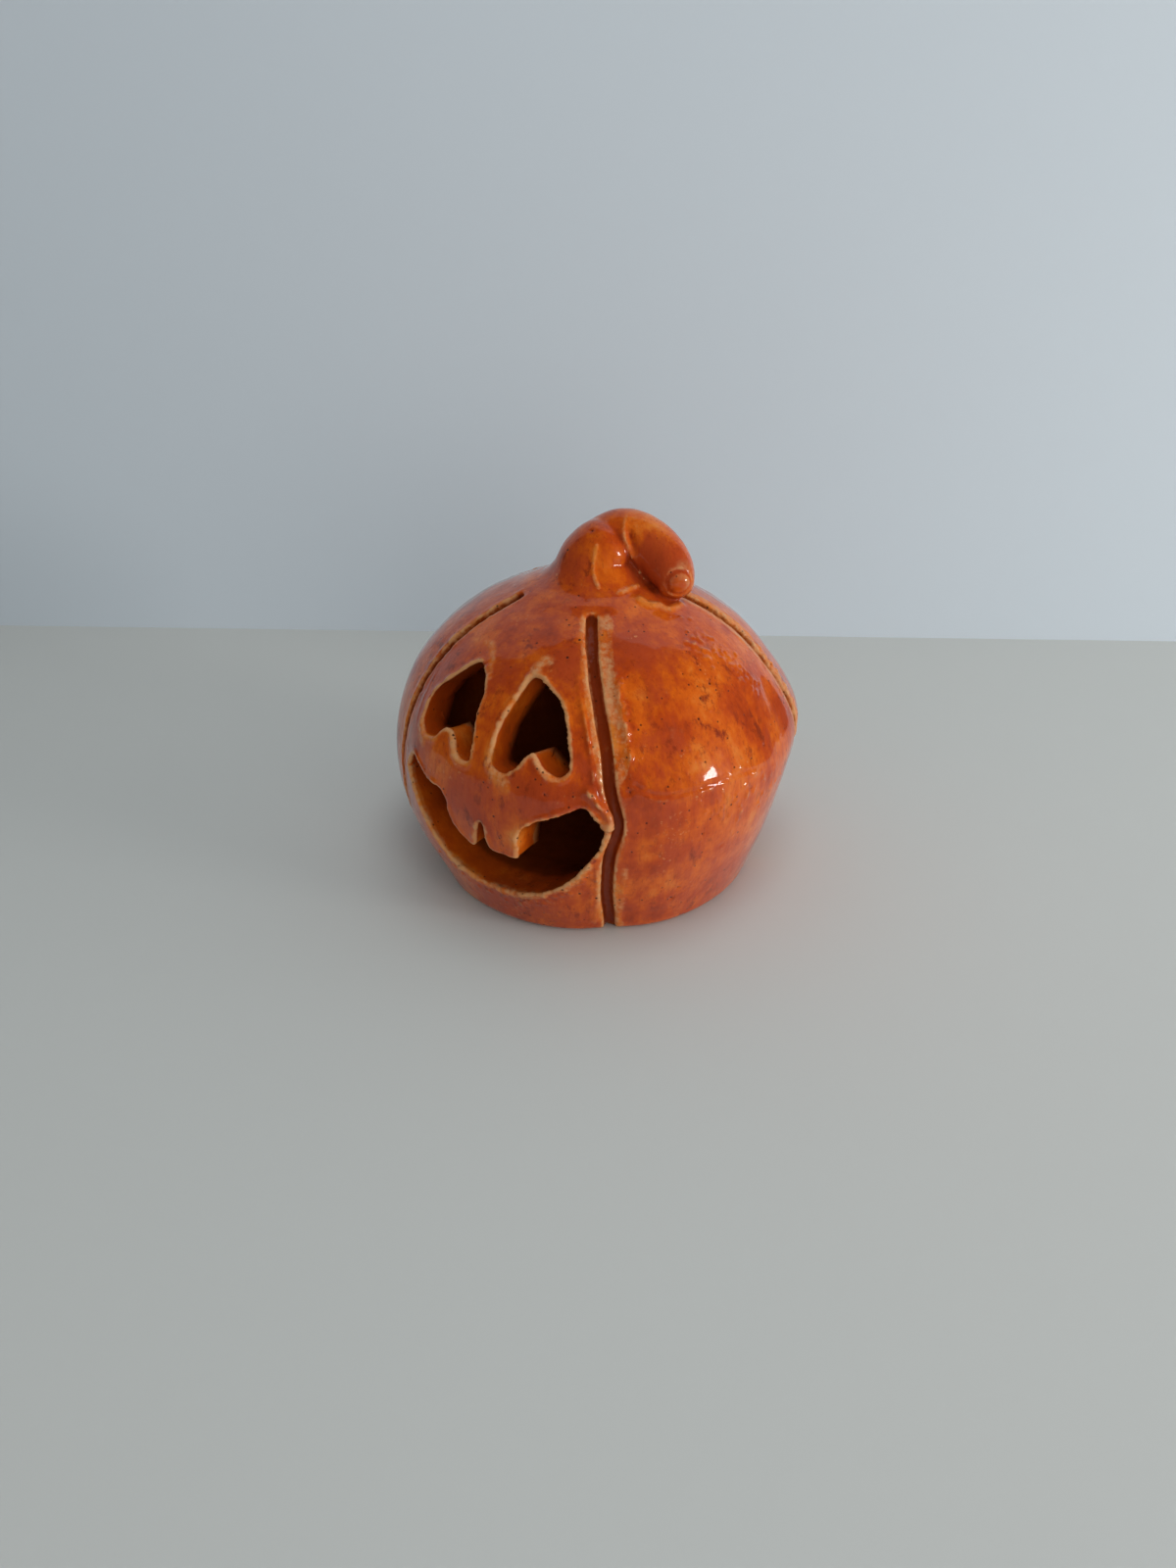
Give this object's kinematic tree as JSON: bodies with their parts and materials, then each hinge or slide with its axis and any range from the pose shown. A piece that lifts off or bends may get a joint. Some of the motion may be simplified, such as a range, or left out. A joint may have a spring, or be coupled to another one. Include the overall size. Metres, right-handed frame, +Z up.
{
  "type": "ceramic pumpkin lantern",
  "caption": "Small hollow pottery pumpkin with a carved grinning face, vertical grooves and a curled stem; orange gloss glaze over tan clay.",
  "frame": {"origin": "middle of the flat underside, on the surface the pumpkin stands on", "axes": "+Z up along the body's own axis, -Y the way the carved face looks, +X to the right of someone looking at the face"},
  "size_m": [0.0837, 0.0838, 0.0753],
  "materials": {
    "glaze": "glossy orange-brown ceramic glaze, breaking to tan clay on the edges and beside the grooves"
  },
  "bodies": {
    "root": {"pumpkin_lantern": "glaze"}
  },
  "joints": []
}
